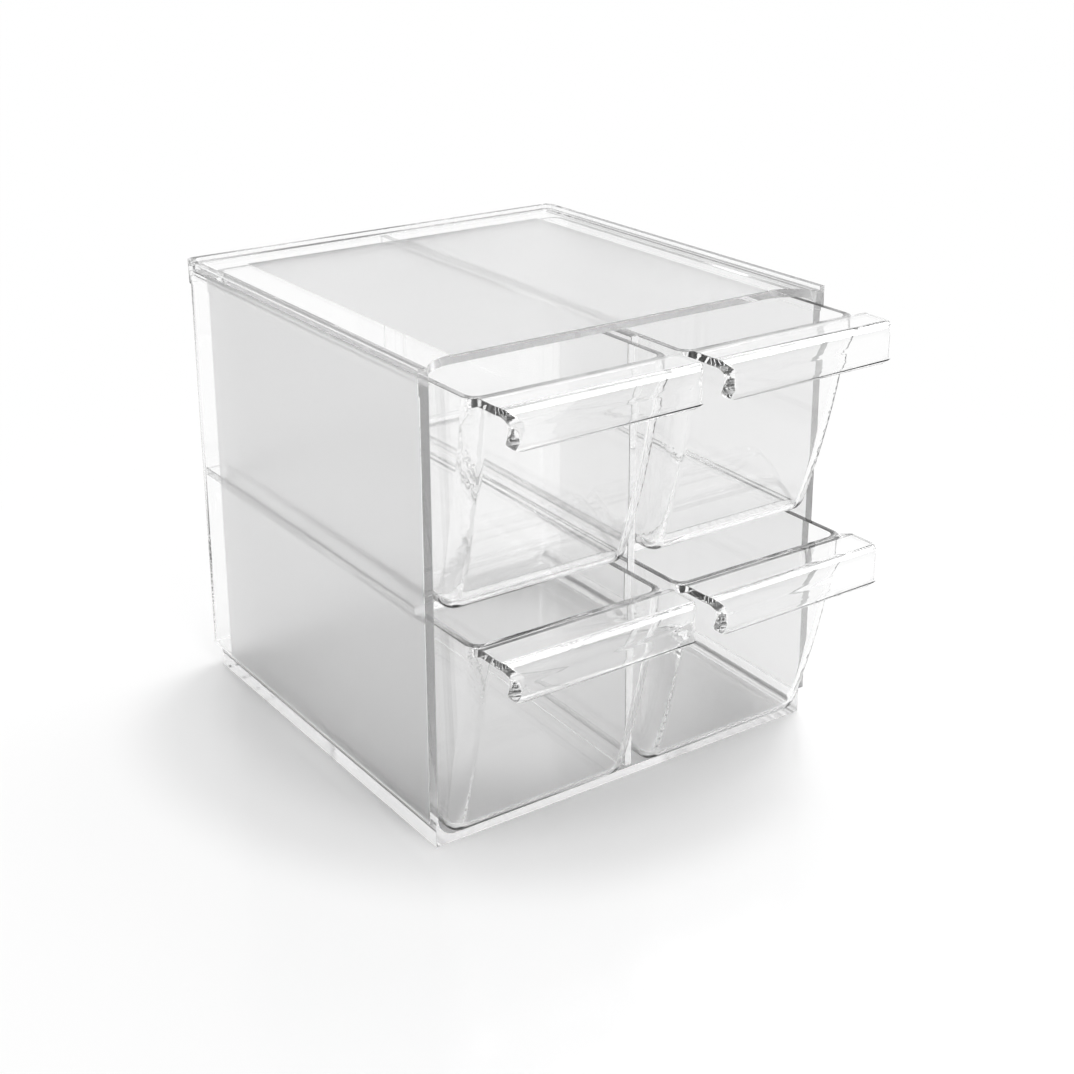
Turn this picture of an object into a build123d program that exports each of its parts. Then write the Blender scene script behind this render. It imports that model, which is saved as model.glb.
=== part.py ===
from build123d import *
import math
import os

# Desktop mini drawers: a clear cube with an open front that holds a
# cross of one shelf and one divider, and four pull-out trays. Millimetres, +Z up.
# The origin is the centre of the underside, and the open front faces -Y.

# Case: overall size and walls
case_width = 152.4
case_depth = 152.4
case_height = 152.4
side_wall = 2.9
back_wall = 2.9
floor_thickness = 3.0
top_thickness = 2.8
case_corner_radius = 3.0
hollow_lower_radius = 6.0
hollow_upper_radius = 2.5

# Case: band round the top that stands proud, and the ridge that a second cube nests in
band_height = 8.2
band_step = 0.4
ridge_width = 2.0
ridge_height = 1.2

# Case: plinth, set in so that it drops inside the ridge of the cube below
plinth_height = 8.8
nesting_clearance = 0.4

# Case: front edge of the top, set back between two curved corners
scoop_depth = 9.0
scoop_corner_run = 13.0

# Shelf and divider, joined in a cross by half-length slots
shelf_thickness = 2.8
divider_thickness = 2.8
shelf_setback = 8.0
divider_setback = 1.0
slot_clearance = 0.1

# Tray: fit in its cell
side_clearance = 1.0
bottom_clearance = 0.3
top_clearance = 0.8
back_clearance = 0.8
pulled_out = 7.1

# Tray: walls and shape
tray_side_wall = 2.0
tray_back_wall = 2.0
tray_floor = 2.2
tray_front_wall = 2.5
tray_draft_inset = 1.1
tray_edge_radius = 5.5
tray_inside_radius = 3.5
toe_setback = 4.5
belly_reach = 11.0
brow_reach = 17.4

# Handle: a full-width lip that runs forward from the brow and turns down
lip_reach = 17.6
lip_rise = 1.8
lip_rise_run = 5.5
lip_drop = 12.4
lip_thickness = 2.5
lip_nose_radius = 5.6
lip_toe_inset = 1.6
lip_end_radius = 7.0
lip_lower_corner_radius = 6.0

os.makedirs("parts", exist_ok=True)

# Faces of the case that everything else is placed from
front_y = -case_depth / 2
back_y = case_depth / 2
wall_half_width = case_width / 2 - band_step
wall_back_y = back_y - band_step
inner_half_width = wall_half_width - side_wall
inner_back_y = wall_back_y - back_wall
inner_depth = inner_back_y - front_y
top_face_z = case_height - ridge_height
ceiling_z = top_face_z - top_thickness
ridge_inner_half_width = case_width / 2 - ridge_width
ridge_inner_back_y = back_y - ridge_width
plinth_half_width = ridge_inner_half_width - nesting_clearance
plinth_back_y = ridge_inner_back_y - nesting_clearance
cell_width = inner_half_width - divider_thickness / 2
cell_height = (ceiling_z - floor_thickness - shelf_thickness) / 2
cell_centre_x = (inner_half_width + divider_thickness / 2) / 2
shelf_z = floor_thickness + cell_height
shelf_front_y = front_y + shelf_setback
divider_front_y = front_y + divider_setback
slot_end_y = (shelf_front_y + inner_back_y) / 2

# The tray, in its own frame: x from its centre line, h up from its underside,
# and y as in the case, at the pulled-out place of the photograph
tray_width = cell_width - 2 * side_clearance
tray_height = cell_height - bottom_clearance - top_clearance
tray_back_y = inner_back_y - back_clearance - pulled_out
toe_y = front_y - pulled_out + toe_setback
belly_y = toe_y - belly_reach
brow_y = toe_y - brow_reach
nose_y = brow_y - lip_reach
lip_top_h = tray_height + lip_rise
lip_toe_h = lip_top_h - lip_drop


def slab(half_width, y_front, y_back, z_low, z_high, corner):
    """A block with its two back upright edges rounded."""
    plan = Polyline(
        (-half_width, y_front),
        (half_width, y_front),
        (half_width, y_back),
        (-half_width, y_back),
        close=True,
    )
    face = make_face(plan)
    back_points = face.vertices().sort_by(Axis.Y)[-2:]
    face = fillet(back_points, corner)
    return extrude(Pos(0, 0, z_low) * face, z_high - z_low)


def plain_box(x_low, x_high, y_low, y_high, z_low, z_high):
    """A box from its lowest and highest corners."""
    middle = ((x_low + x_high) / 2, (y_low + y_high) / 2, (z_low + z_high) / 2)
    return Pos(*middle) * Box(x_high - x_low, y_high - y_low, z_high - z_low)


def top_scoop():
    """The bite along the front edge of the top, curving forward to the side walls."""
    edge_y = front_y + scoop_depth
    half = inner_half_width
    start = half - scoop_corner_run
    outline = (
        Line((-start, edge_y), (start, edge_y))
        + TangentArc((start, edge_y), (half, front_y), tangent=(1, 0))
        + Polyline((half, front_y), (half, front_y - 1), (-half, front_y - 1), (-half, front_y))
        + TangentArc((-start, edge_y), (-half, front_y), tangent=(-1, 0))
    )
    return extrude(Pos(0, 0, ceiling_z - 1) * make_face(outline), top_thickness + ridge_height + 2)


def case_shell():
    """One moulding: plinth, walls, top band and ridge, open at the front."""
    plinth = slab(plinth_half_width, front_y, plinth_back_y, 0, plinth_height, case_corner_radius)
    band_z = case_height - band_height
    walls = slab(wall_half_width, front_y, wall_back_y, plinth_height, band_z, case_corner_radius)
    band = slab(case_width / 2, front_y, back_y, band_z, case_height, case_corner_radius)
    hollow_height = ceiling_z - floor_thickness
    hollow = Pos(0, (front_y - 1 + inner_back_y) / 2, floor_thickness + hollow_height / 2) * Box(
        2 * inner_half_width, inner_depth + 1, hollow_height
    )
    long_edges = hollow.edges().filter_by(Axis.Y).group_by(Axis.Z)
    hollow = fillet(long_edges[0], hollow_lower_radius)
    long_edges = hollow.edges().filter_by(Axis.Y).group_by(Axis.Z)
    hollow = fillet(long_edges[-1], hollow_upper_radius)
    nest = slab(
        ridge_inner_half_width,
        front_y - 1,
        ridge_inner_back_y,
        top_face_z,
        case_height + 1,
        case_corner_radius,
    )
    return plinth + walls + band - hollow - nest - top_scoop()


def shelf():
    """The level board, slotted from its front edge to half its depth."""
    top_z = shelf_z + shelf_thickness
    board = plain_box(-inner_half_width, inner_half_width, shelf_front_y, inner_back_y, shelf_z, top_z)
    slot_half = divider_thickness / 2 + slot_clearance
    slot = plain_box(-slot_half, slot_half, shelf_front_y - 1, slot_end_y, shelf_z - 1, top_z + 1)
    return board - slot


def divider():
    """The upright board, slotted from its back edge to half its depth."""
    half = divider_thickness / 2
    board = plain_box(-half, half, divider_front_y, inner_back_y, floor_thickness, ceiling_z)
    slot_low = shelf_z - slot_clearance
    slot_high = shelf_z + shelf_thickness + slot_clearance
    slot = plain_box(
        -half - 1, half + 1, slot_end_y - slot_clearance, inner_back_y + 1, slot_low, slot_high
    )
    return board - slot


def tray_front_arc(inset):
    """The curved front of the tray in side view, moved back by a wall thickness."""
    arc = ThreePointArc(
        (toe_y + inset, 0),
        (belly_y + inset, tray_height / 2),
        (brow_y + inset, tray_height),
    )
    return arc


def tray_side_view(front_inset, back_inset):
    """Side view of the tray as a face in the YZ plane."""
    front = tray_front_arc(front_inset)
    back = tray_back_y - back_inset
    outline = front + Polyline(front @ 1, (back, tray_height), (back, 0), front @ 0)
    return make_face(Plane.YZ * outline)


def tray_end_view(side_inset):
    """Front view of the tray, narrower at the bottom by its moulding draft."""
    top_half = tray_width / 2 - side_inset
    low_half = top_half - tray_draft_inset
    outline = Polyline(
        (-low_half, 0),
        (low_half, 0),
        (top_half, tray_height),
        (-top_half, tray_height),
        close=True,
    )
    return make_face(Plane.XZ * outline)


def tray_block(side_inset, front_inset, back_inset, radius):
    """The tray as a full block, with every edge but those of its rim rounded."""
    across = extrude(tray_side_view(front_inset, back_inset), tray_width / 2 + 1, both=True)
    along = extrude(tray_end_view(side_inset), case_depth, both=True)
    block = across & along
    rounded = [edge for edge in block.edges() if edge.bounding_box().min.Z < 1]
    return fillet(rounded, radius)


def lip_section():
    """Side view of the handle: forward from the brow, round the nose and down."""
    root = (brow_y + tray_front_wall, tray_height)
    crest = (root[0] - lip_rise_run, lip_top_h)
    top = (nose_y + lip_nose_radius, lip_top_h)
    nose = (nose_y, lip_top_h - lip_nose_radius)
    toe = (nose_y + lip_toe_inset, lip_toe_h)
    bend = math.sqrt(0.5) * lip_nose_radius
    shoulder = (top[0] - bend, nose[1] + bend)
    face_bulge = (nose_y + lip_toe_inset * 0.3, (nose[1] + toe[1]) / 2)
    inner_toe = (toe[0] + lip_thickness, lip_toe_h + 0.3)
    inner_nose = (nose[0] + lip_thickness, nose[1] - 0.3)
    inner_radius = lip_nose_radius - lip_thickness
    inner_bend = math.sqrt(0.5) * inner_radius
    inner_top = (top[0], lip_top_h - lip_thickness)
    inner_shoulder = (top[0] - inner_bend, nose[1] + inner_bend)
    inner_bulge = (face_bulge[0] + lip_thickness, face_bulge[1])
    under_crest = (crest[0], inner_top[1])
    under_root = (brow_y + 1.0, tray_height - lip_thickness)
    outline = (
        Line(root, crest)
        + Line(crest, top)
        + ThreePointArc(top, shoulder, nose)
        + ThreePointArc(nose, face_bulge, toe)
        + Line(toe, inner_toe)
        + ThreePointArc(inner_toe, inner_bulge, inner_nose)
        + ThreePointArc(inner_nose, inner_shoulder, inner_top)
        + Line(inner_top, under_crest)
        + Line(under_crest, under_root)
        + Line(under_root, root)
    )
    return make_face(Plane.YZ * outline)


def lip():
    """The handle, its ends rounded in plan and its lower corners in front view."""
    half = tray_width / 2
    bar = extrude(lip_section(), half, both=True)
    plan = make_face(
        Polyline((-half, nose_y), (half, nose_y), (half, toe_y), (-half, toe_y), close=True)
    )
    plan = fillet(plan.vertices().group_by(Axis.Y)[0], lip_end_radius)
    front = make_face(
        Plane.XZ
        * Polyline(
            (-half, lip_toe_h), (half, lip_toe_h), (half, lip_top_h), (-half, lip_top_h), close=True
        )
    )
    front = fillet(front.vertices().group_by(Axis.Z)[0], lip_lower_corner_radius)
    return bar & extrude(plan, lip_top_h + 1) & extrude(front, case_depth, both=True)


def tray():
    """One drawer: a thin moulded tray with its handle in one piece."""
    outer = tray_block(0, 0, 0, tray_edge_radius)
    inner = tray_block(tray_side_wall, tray_front_wall, tray_back_wall, tray_inside_radius)
    return outer - Pos(0, 0, tray_floor) * inner + lip()


def place_tray(column, row):
    """Puts the tray in its cell: column -1 left or 1 right, row 0 lower or 1 upper."""
    cell_floor = floor_thickness if row == 0 else shelf_z + shelf_thickness
    return Pos(column * cell_centre_x, 0, cell_floor + bottom_clearance) * tray()


rows = ("lower", "upper")
columns = ((-1, "left"), (1, "right"))

pieces = {"case_shell": case_shell(), "shelf": shelf(), "divider": divider()}
for row, row_name in enumerate(rows):
    for column, column_name in columns:
        pieces[f"{row_name}_{column_name}_drawer"] = place_tray(column, row)

for name, piece in pieces.items():
    export_step(piece, f"parts/{name}.step")
    box = piece.bounding_box()
    print(f"{name:20s} solids {len(piece.solids())} volume {piece.volume:10.1f} size {box.size}")
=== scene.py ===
import math
import bpy
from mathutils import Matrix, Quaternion, Vector


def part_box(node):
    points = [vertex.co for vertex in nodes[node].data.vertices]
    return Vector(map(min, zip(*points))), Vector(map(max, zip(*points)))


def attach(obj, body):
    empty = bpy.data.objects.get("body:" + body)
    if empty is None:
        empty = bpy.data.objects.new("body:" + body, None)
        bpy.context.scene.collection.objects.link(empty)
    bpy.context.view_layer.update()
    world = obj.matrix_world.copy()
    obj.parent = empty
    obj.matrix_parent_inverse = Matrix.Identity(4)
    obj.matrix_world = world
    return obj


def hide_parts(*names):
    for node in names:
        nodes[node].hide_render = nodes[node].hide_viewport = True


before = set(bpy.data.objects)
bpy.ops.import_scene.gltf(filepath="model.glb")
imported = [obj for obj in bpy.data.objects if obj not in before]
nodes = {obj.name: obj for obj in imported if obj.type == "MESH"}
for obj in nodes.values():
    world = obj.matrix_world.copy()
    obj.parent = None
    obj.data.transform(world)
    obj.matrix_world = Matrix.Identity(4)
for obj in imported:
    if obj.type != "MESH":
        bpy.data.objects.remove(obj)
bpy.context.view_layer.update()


# ---------------------------------------------------------------- the case
# The clear outer box: one injection moulding in general-purpose polystyrene, open at the
# front. Its rims, plinth and front edges come polished from the mould, and its sides and
# top carry a fine etched texture that looks frosted.

CASE_EDGE_RADIUS = 0.00035
EDGE_STEPS = 2
SHARP_EDGE_ANGLE = math.radians(32)
FLAT_FACE_ANGLE = math.radians(0.4)
MERGE_DISTANCE = 0.000004


def softened_copy(
    node_name, piece_name, edge_radius, merge_distance=MERGE_DISTANCE, clamp_edges=True
):
    """A CAD node's copy, its flat faces whole and its edges rounded as a mould leaves them."""
    bpy.ops.object.select_all(action="DESELECT")
    source = nodes[node_name]
    piece = source.copy()
    piece.data = source.data.copy()
    piece.name = piece_name
    piece.data.name = piece_name
    bpy.context.scene.collection.objects.link(piece)
    matrix = source.matrix_world.copy()
    piece.parent = None
    piece.matrix_world = matrix
    piece.select_set(True)
    bpy.context.view_layer.objects.active = piece
    bpy.ops.object.transform_apply(location=True, rotation=True, scale=True)
    bpy.ops.object.mode_set(mode="EDIT")
    bpy.ops.mesh.select_all(action="SELECT")
    bpy.ops.mesh.remove_doubles(threshold=merge_distance)
    bpy.ops.mesh.dissolve_limited(angle_limit=FLAT_FACE_ANGLE)
    bpy.ops.object.mode_set(mode="OBJECT")
    bevel = piece.modifiers.new("moulded edges", "BEVEL")
    bevel.width = edge_radius
    bevel.segments = EDGE_STEPS
    bevel.limit_method = "ANGLE"
    bevel.angle_limit = SHARP_EDGE_ANGLE
    bevel.use_clamp_overlap = clamp_edges
    bpy.ops.object.modifier_apply(modifier=bevel.name)
    bpy.ops.object.shade_smooth()
    flatten = piece.modifiers.new("flat faces stay flat", "WEIGHTED_NORMAL")
    flatten.mode = "FACE_AREA"
    bpy.ops.object.modifier_apply(modifier=flatten.name)
    piece.data.materials.clear()
    return piece


def linear(hex_colour):
    """An sRGB hex colour as the linear colour that a shader takes, by the sRGB standard's curve."""
    values = []
    for start in (1, 3, 5):
        value = int(hex_colour[start:start + 2], 16) / 255
        values.append(value / 12.92 if value <= 0.04045 else ((value + 0.055) / 1.055) ** 2.4)
    return (*values, 1.0)


def add_node(tree, kind, settings=None, values=None, links=None):
    """Adds one shader node with its settings, its socket values and its incoming links."""
    node = tree.nodes.new(kind)
    for name, value in (settings or {}).items():
        setattr(node, name, value)
    for name, value in (values or {}).items():
        node.inputs[name].default_value = value
    for name, source in (links or {}).items():
        tree.links.new(source, node.inputs[name])
    return node


# Clear polystyrene is nearly water-white, with an index of 1.59. The eye sees the polish as
# sharp highlights, and a slow waviness left by the flow of plastic in the mould.
POLYSTYRENE_INDEX = 1.59
CLEAR_TINT = "#FEFEFE"
CLEAR_ROUGHNESS = 0.015
CASE_WAVE_LENGTH = 0.028
WAVE_HEIGHT = 0.00001
WAVE_DETAIL = 1.0
WAVE_UNEVENNESS = 0.4


def clear_polystyrene(name, wave_length):
    """Polished clear polystyrene with the mould's flow waves.

    Returns the material, its tree, its shader, its coordinates and its wave bump.
    """
    material = bpy.data.materials.new(name)
    material.use_nodes = True
    tree = material.node_tree
    tree.nodes.clear()
    place = add_node(tree, "ShaderNodeTexCoord")
    waves = add_node(
        tree,
        "ShaderNodeTexNoise",
        values={"Scale": 1 / wave_length, "Detail": WAVE_DETAIL, "Roughness": WAVE_UNEVENNESS},
        links={"Vector": place.outputs["Object"]},
    )
    flow = add_node(
        tree,
        "ShaderNodeBump",
        values={"Strength": 1.0, "Distance": WAVE_HEIGHT},
        links={"Height": waves.outputs["Fac"]},
    )
    plastic = add_node(
        tree,
        "ShaderNodeBsdfPrincipled",
        values={
            "Base Color": linear(CLEAR_TINT),
            "Roughness": CLEAR_ROUGHNESS,
            "IOR": POLYSTYRENE_INDEX,
            "Transmission Weight": 1.0,
        },
        links={"Normal": flow.outputs["Normal"]},
    )
    add_node(tree, "ShaderNodeOutputMaterial", links={"Surface": plastic.outputs["BSDF"]})
    return material, tree, plastic, place, flow


# The etched fields scatter light: fine pits about 0.15 mm wide, drawn at 0.4 mm so that they
# show. The side fields stop 17 mm short of the back, the top field 16 mm short of the sides and
# 15 mm short of the back; the rims and the front edges stay clear. The side fields get a greyer
# tint than the same plastic on top: painted shade that darkens the sides. The underside's very
# light texture is a guess.
FROSTED_ROUGHNESS = 0.3
SIDE_FIELD_PAINTED_SHADE = "#ECECEC"
UNDERSIDE_ROUGHNESS = 0.06
PIT_WIDTH = 0.0004
PIT_DEPTH = 0.00002
PIT_DETAIL = 2.0
PIT_UNEVENNESS = 0.6
SIDE_FIELD_BACK = 0.0592
SIDE_FIELD_TOP = 0.1502
SIDE_FIELD_BOTTOM = 0.0088
SIDE_FIELD_FRONT = -0.0755
SIDE_FACE = 0.0752
UNDERSIDE_FACE = 0.00005
TOP_FIELD_HALF_WIDTH = 0.0600
TOP_FIELD_BACK = 0.0612
TOP_FACE_LOW = 0.1507


def frosted_case_plastic():
    """Clear polystyrene whose side and top outer faces carry the etched fields."""
    material, tree, plastic, place, flow = clear_polystyrene(
        "clear_and_frosted_polystyrene", CASE_WAVE_LENGTH
    )
    split = add_node(tree, "ShaderNodeSeparateXYZ", links={"Vector": place.outputs["Object"]})
    across = add_node(
        tree, "ShaderNodeMath", {"operation": "ABSOLUTE"}, links={0: split.outputs["X"]}
    )

    def above(source, limit):
        return add_node(
            tree, "ShaderNodeMath", {"operation": "GREATER_THAN"}, {1: limit}, {0: source}
        ).outputs[0]

    def below(source, limit):
        return add_node(
            tree, "ShaderNodeMath", {"operation": "LESS_THAN"}, {1: limit}, {0: source}
        ).outputs[0]

    def all_of(*tests):
        product = tests[0]
        for test in tests[1:]:
            product = add_node(
                tree, "ShaderNodeMath", {"operation": "MULTIPLY"}, links={0: product, 1: test}
            ).outputs[0]
        return product

    side_field = all_of(
        above(across.outputs[0], SIDE_FACE),
        below(split.outputs["Y"], SIDE_FIELD_BACK),
        above(split.outputs["Y"], SIDE_FIELD_FRONT),
        below(split.outputs["Z"], SIDE_FIELD_TOP),
        above(split.outputs["Z"], SIDE_FIELD_BOTTOM),
    )
    top_field = all_of(
        above(split.outputs["Z"], TOP_FACE_LOW),
        below(across.outputs[0], TOP_FIELD_HALF_WIDTH),
        below(split.outputs["Y"], TOP_FIELD_BACK),
    )
    frosted = add_node(
        tree, "ShaderNodeMath", {"operation": "MAXIMUM"}, links={0: side_field, 1: top_field}
    )
    polished_or_underside = add_node(
        tree,
        "ShaderNodeMapRange",
        values={"To Min": CLEAR_ROUGHNESS, "To Max": UNDERSIDE_ROUGHNESS},
        links={"Value": below(split.outputs["Z"], UNDERSIDE_FACE)},
    )
    roughness = add_node(
        tree,
        "ShaderNodeMapRange",
        values={"To Max": FROSTED_ROUGHNESS},
        links={"Value": frosted.outputs[0], "To Min": polished_or_underside.outputs["Result"]},
    )
    # The side fields' grey tint is painted shade on the same plastic that stays clear-tinted on
    # top.
    # A colour Mix node's sockets share their names with its other types', so they go by number:
    # 6 and 7 are the two colours in, 2 is the colour out.
    tint_with_side_shade = add_node(
        tree,
        "ShaderNodeMix",
        {"data_type": "RGBA"},
        {6: linear(CLEAR_TINT), 7: linear(SIDE_FIELD_PAINTED_SHADE)},
        {"Factor": side_field},
    )
    pits = add_node(
        tree,
        "ShaderNodeTexNoise",
        values={"Scale": 1 / PIT_WIDTH, "Detail": PIT_DETAIL, "Roughness": PIT_UNEVENNESS},
        links={"Vector": place.outputs["Object"]},
    )
    etched = add_node(
        tree,
        "ShaderNodeMath",
        {"operation": "MULTIPLY"},
        links={0: pits.outputs["Fac"], 1: frosted.outputs[0]},
    )
    texture = add_node(
        tree,
        "ShaderNodeBump",
        values={"Strength": 1.0, "Distance": PIT_DEPTH},
        links={"Height": etched.outputs[0], "Normal": flow.outputs["Normal"]},
    )
    tree.links.new(tint_with_side_shade.outputs[2], plastic.inputs["Base Color"])
    tree.links.new(roughness.outputs["Result"], plastic.inputs["Roughness"])
    tree.links.new(texture.outputs["Normal"], plastic.inputs["Normal"])
    return material


case = softened_copy("case_shell", "case_moulding", CASE_EDGE_RADIUS)
case.data.materials.append(frosted_case_plastic())
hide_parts("case_shell")
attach(case, "case")


# ---------------------------------------------------------------- the shelf and the divider
# Two clear polystyrene boards that cross in half-length slots and stand fast in the case. Their
# edges are cut and lightly broken. Their ends are drawn in by a hair, so that they don't share
# a face with the case's walls.

BOARD_EDGE_RADIUS = 0.00025
BOARD_END_BAND = BOARD_EDGE_RADIUS * 1.5
BOARD_END_GAP = 0.00006
BOARD_THICKNESS_LIMIT = 0.01
BOARD_WAVE_LENGTH = 0.05

board_plastic = clear_polystyrene("clear_polystyrene_board", BOARD_WAVE_LENGTH)[0]
for board_name in ("shelf", "divider"):
    board = softened_copy(board_name, f"{board_name}_board", BOARD_EDGE_RADIUS)
    low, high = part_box(board_name)
    for vertex in board.data.vertices:
        for axis in range(3):
            if high[axis] - low[axis] < BOARD_THICKNESS_LIMIT:
                continue
            if vertex.co[axis] > high[axis] - BOARD_END_BAND:
                vertex.co[axis] -= BOARD_END_GAP
            elif vertex.co[axis] < low[axis] + BOARD_END_BAND:
                vertex.co[axis] += BOARD_END_GAP
    board.data.materials.append(board_plastic)
    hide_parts(board_name)
    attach(board, "case")


# ---------------------------------------------------------------- the drawers
# Four like trays, each one clear polystyrene moulding: thin drafted walls, a front that leans
# forward in a shallow curve, and along its top a lip turned down as the handle. Polished all over.

# The trays have very short edges where their curves meet. These would hold a clamped rounding
# back to almost nothing, so the shortest are merged and the rounding isn't clamped.
DRAWER_EDGE_RADIUS = 0.00018
DRAWER_MERGE_DISTANCE = 0.0001
DRAWER_WAVE_LENGTH = 0.022

drawer_plastic = clear_polystyrene("clear_polystyrene_drawer", DRAWER_WAVE_LENGTH)[0]
for row in ("upper", "lower"):
    for column in ("left", "right"):
        drawer_name = f"{row}_{column}_drawer"
        drawer = softened_copy(
            drawer_name,
            f"{row}_{column}_tray",
            DRAWER_EDGE_RADIUS,
            DRAWER_MERGE_DISTANCE,
            clamp_edges=False,
        )
        drawer.data.materials.append(drawer_plastic)
        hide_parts(drawer_name)
        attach(drawer, drawer_name)


# ---------------------------------------------------------------- the floor and the background
# A white, slightly glossy studio table that runs out to pure white, so that the object keeps a
# soft grey shadow and a blurred reflection under it.

FLOOR_SIZE = 6.0
FLOOR_DROP = 0.00005
FLOOR_WHITE = "#FAFAFA"
FLOOR_GLOSS_ROUGHNESS = 0.14
FLOOR_GLOSS_INDEX = 1.45
PURE_WHITE = (1, 1, 1, 1)

# Each stop is a distance from the middle of the floor in metres and the share of pure white
# there. The lit floor and its shadow show most in a ring along the case's walls. Under the case
# the pure white is painted light over the floor's shadow, which makes the lower cells look
# lighter; further out it is the white backdrop.
FADE_REACH = 0.40
WHITE_AND_PAINTED_LIGHT_STOPS = (
    (0.0, 0.55),
    (0.050, 0.50),
    (0.086, 0.16),
    (0.110, 0.36),
    (0.142, 0.86),
    (FADE_REACH, 1.0),
)

bpy.ops.object.select_all(action="DESELECT")
bpy.ops.mesh.primitive_plane_add(size=FLOOR_SIZE, location=(0, 0, -FLOOR_DROP))
floor = bpy.context.object
floor.name = "studio_table"
floor_material = bpy.data.materials.new("white_table_laminate")
floor_material.use_nodes = True
floor_tree = floor_material.node_tree
floor_tree.nodes.clear()


def seen_by_eye_or_gloss(tree):
    """1 for rays from the camera, reflections and through clear plastic, 0 for falling light."""
    ray = add_node(tree, "ShaderNodeLightPath")
    eye_or_gloss = add_node(
        tree,
        "ShaderNodeMath",
        {"operation": "MAXIMUM"},
        links={0: ray.outputs["Is Camera Ray"], 1: ray.outputs["Is Glossy Ray"]},
    )
    seen = add_node(
        tree,
        "ShaderNodeMath",
        {"operation": "MAXIMUM"},
        links={0: eye_or_gloss.outputs[0], 1: ray.outputs["Is Transmission Ray"]},
    )
    return seen.outputs[0]


floor_place = add_node(floor_tree, "ShaderNodeTexCoord")
from_middle = add_node(
    floor_tree,
    "ShaderNodeVectorMath",
    {"operation": "LENGTH"},
    links={0: floor_place.outputs["Object"]},
)
reach = add_node(
    floor_tree,
    "ShaderNodeMapRange",
    values={"From Max": FADE_REACH},
    links={"Value": from_middle.outputs["Value"]},
)
fade = add_node(floor_tree, "ShaderNodeValToRGB", links={"Fac": reach.outputs["Result"]})
fade.color_ramp.interpolation = "EASE"
stops = fade.color_ramp.elements
for number, (distance, white) in enumerate(WHITE_AND_PAINTED_LIGHT_STOPS):
    stop = stops[number] if number < len(stops) else stops.new(distance / FADE_REACH)
    stop.position = distance / FADE_REACH
    stop.color = (white, white, white, 1.0)
white_and_painted_light = add_node(
    floor_tree,
    "ShaderNodeMath",
    {"operation": "MULTIPLY"},
    links={0: fade.outputs["Color"], 1: seen_by_eye_or_gloss(floor_tree)},
)
paint = add_node(floor_tree, "ShaderNodeBsdfDiffuse", values={"Color": linear(FLOOR_WHITE)})
# Pure white emission: the white backdrop far out, and painted light over the floor's shadow under
# the case.
glow = add_node(
    floor_tree, "ShaderNodeEmission", values={"Color": PURE_WHITE, "Strength": 1.0}
)
ground = add_node(
    floor_tree,
    "ShaderNodeMixShader",
    links={"Fac": white_and_painted_light.outputs[0], 1: paint.outputs[0], 2: glow.outputs[0]},
)
sheen = add_node(
    floor_tree,
    "ShaderNodeBsdfGlossy",
    values={"Color": PURE_WHITE, "Roughness": FLOOR_GLOSS_ROUGHNESS},
)
grazing = add_node(floor_tree, "ShaderNodeFresnel", values={"IOR": FLOOR_GLOSS_INDEX})
table_top = add_node(
    floor_tree,
    "ShaderNodeMixShader",
    links={"Fac": grazing.outputs[0], 1: ground.outputs[0], 2: sheen.outputs[0]},
)
add_node(floor_tree, "ShaderNodeOutputMaterial", links={"Surface": table_top.outputs[0]})
floor.data.materials.append(floor_material)

# The camera sees a white world. For falling light it is plain studio fill. A reflection or the
# clear plastic sees it white near the horizon and grey overhead, like a ceiling, and the rounded
# lips pick that up. The ceiling's limits are heights on a sphere of radius 1.
FILL_STRENGTH = 0.75
CEILING_GREY = 0.45
CEILING_STARTS = 0.45
CEILING_IS_FULL = 0.85

world = bpy.data.worlds.new("studio")
bpy.context.scene.world = world
world.use_nodes = True
sky_tree = world.node_tree
sky_tree.nodes.clear()
direction = add_node(sky_tree, "ShaderNodeTexCoord")
height = add_node(
    sky_tree, "ShaderNodeSeparateXYZ", links={"Vector": direction.outputs["Generated"]}
)
ceiling = add_node(
    sky_tree,
    "ShaderNodeMapRange",
    {"interpolation_type": "SMOOTHSTEP"},
    {
        "From Min": CEILING_STARTS,
        "From Max": CEILING_IS_FULL,
        "To Min": 1.0,
        "To Max": CEILING_GREY,
    },
    {"Value": height.outputs["Z"]},
)
sky_ray = add_node(sky_tree, "ShaderNodeLightPath")
backdrop = add_node(
    sky_tree,
    "ShaderNodeMath",
    {"operation": "MAXIMUM"},
    links={0: ceiling.outputs["Result"], 1: sky_ray.outputs["Is Camera Ray"]},
)
strength = add_node(
    sky_tree,
    "ShaderNodeMix",
    {"data_type": "FLOAT"},
    {"A": FILL_STRENGTH},
    {"Factor": seen_by_eye_or_gloss(sky_tree), "B": backdrop.outputs[0]},
)
sky = add_node(
    sky_tree,
    "ShaderNodeBackground",
    values={"Color": PURE_WHITE},
    links={"Strength": strength.outputs[0]},
)
add_node(sky_tree, "ShaderNodeOutputWorld", links={"Surface": sky.outputs["Background"]})


# ---------------------------------------------------------------- lamps and camera
# A large soft box high on the right throws the faint shadow to the left, and a smaller one in
# front puts the long highlights on the handles. Places and sizes are metres, powers are watts.

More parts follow.
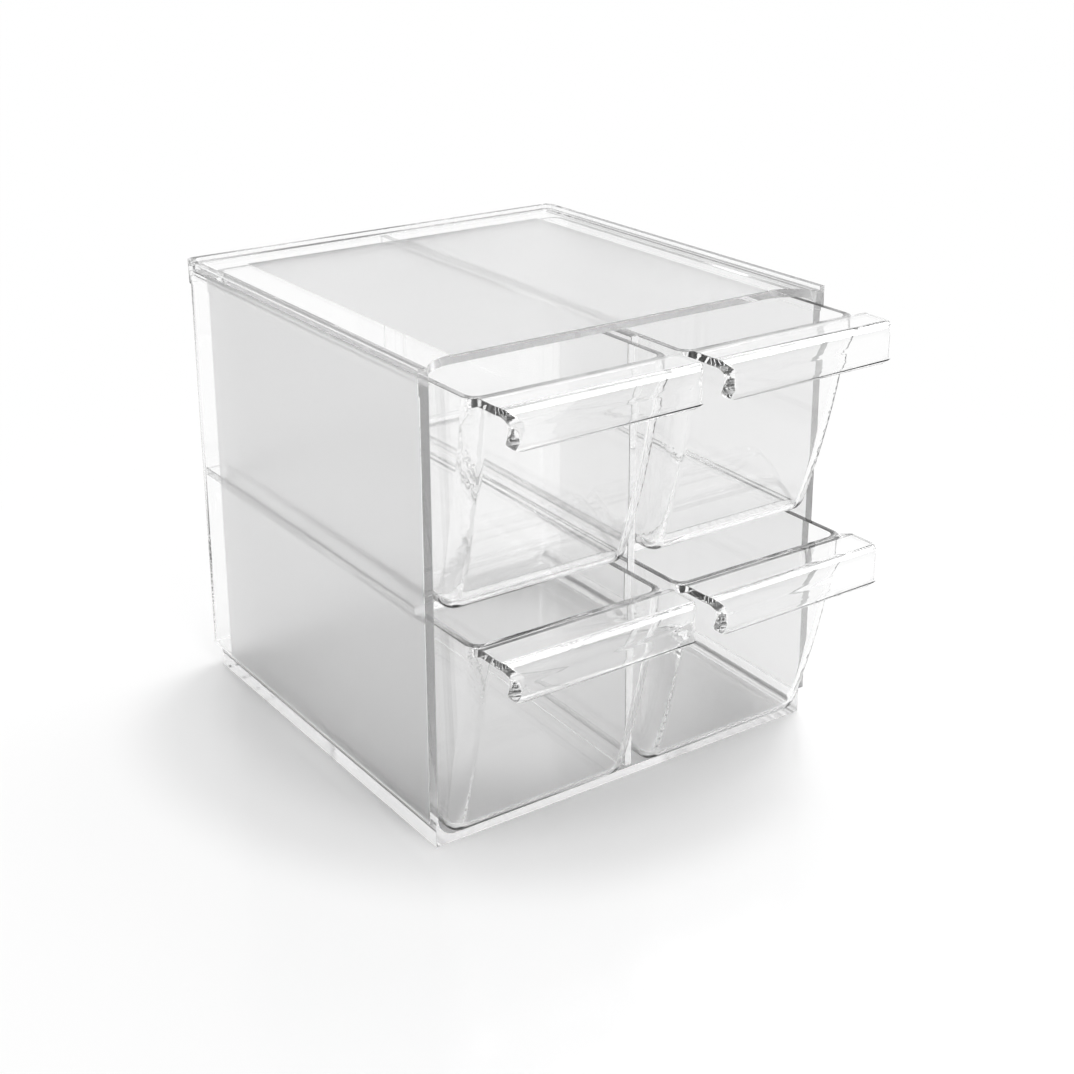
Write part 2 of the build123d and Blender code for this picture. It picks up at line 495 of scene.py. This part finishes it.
def soft_box(name, place, aim, size, power):
    """Hangs a square studio soft box at a place and turns it to its aim."""
    lamp = bpy.data.lights.new(name, "AREA")
    lamp.shape = "SQUARE"
    lamp.size = size
    lamp.energy = power
    holder = bpy.data.objects.new(name, lamp)
    bpy.context.scene.collection.objects.link(holder)
    holder.location = place
    holder.rotation_euler = (Vector(aim) - Vector(place)).to_track_quat("-Z", "Y").to_euler()


soft_box("key_soft_box", place=(0.7, 0.3, 1.1), aim=(0, 0, 0.06), size=0.7, power=9.0)
soft_box("front_soft_box", place=(-0.1, -1.1, 0.8), aim=(0, 0, 0.08), size=0.5, power=4.0)

# The camera stands 35 degrees to the left of the front and looks a little down. Its shift is
# smaller than the photograph's, because a larger one puts the object out of the frame in other
# views.
CAMERA_AZIMUTH = math.radians(-35.0)
CAMERA_ELEVATION = math.radians(18.9)
CAMERA_ROLL = math.radians(-0.1)
CAMERA_DISTANCE = 0.6085
CAMERA_TARGET = Vector((0.0169, 0.0, 0.1013))
CAMERA_LENS_MM = 59.10
CAMERA_SENSOR_MM = 36.0
CAMERA_SHIFT_Y = -0.12
CAMERA_CLIP_START = 0.01

camera_data = bpy.data.cameras.new("camera")
camera_data.sensor_width = CAMERA_SENSOR_MM
camera_data.lens = CAMERA_LENS_MM
camera_data.shift_y = CAMERA_SHIFT_Y
camera_data.clip_start = CAMERA_CLIP_START
camera = bpy.data.objects.new("camera", camera_data)
bpy.context.scene.collection.objects.link(camera)
towards_camera = Vector(
    (
        math.sin(CAMERA_AZIMUTH) * math.cos(CAMERA_ELEVATION),
        -math.cos(CAMERA_AZIMUTH) * math.cos(CAMERA_ELEVATION),
        math.sin(CAMERA_ELEVATION),
    )
)
camera.location = CAMERA_TARGET + towards_camera * CAMERA_DISTANCE
camera.rotation_mode = "QUATERNION"
facing = (-towards_camera).to_track_quat("-Z", "Y")
camera.rotation_quaternion = facing @ Quaternion((0, 0, 1), CAMERA_ROLL)
bpy.context.scene.camera = camera

# A ray through the case and its drawers crosses many clear faces, and is dark if it is cut short.
CLEAR_FACE_BOUNCES = 40

bpy.context.scene.view_settings.view_transform = "Standard"
bpy.context.scene.cycles.max_bounces = CLEAR_FACE_BOUNCES
bpy.context.scene.cycles.transmission_bounces = CLEAR_FACE_BOUNCES
bpy.context.scene.cycles.glossy_bounces = CLEAR_FACE_BOUNCES
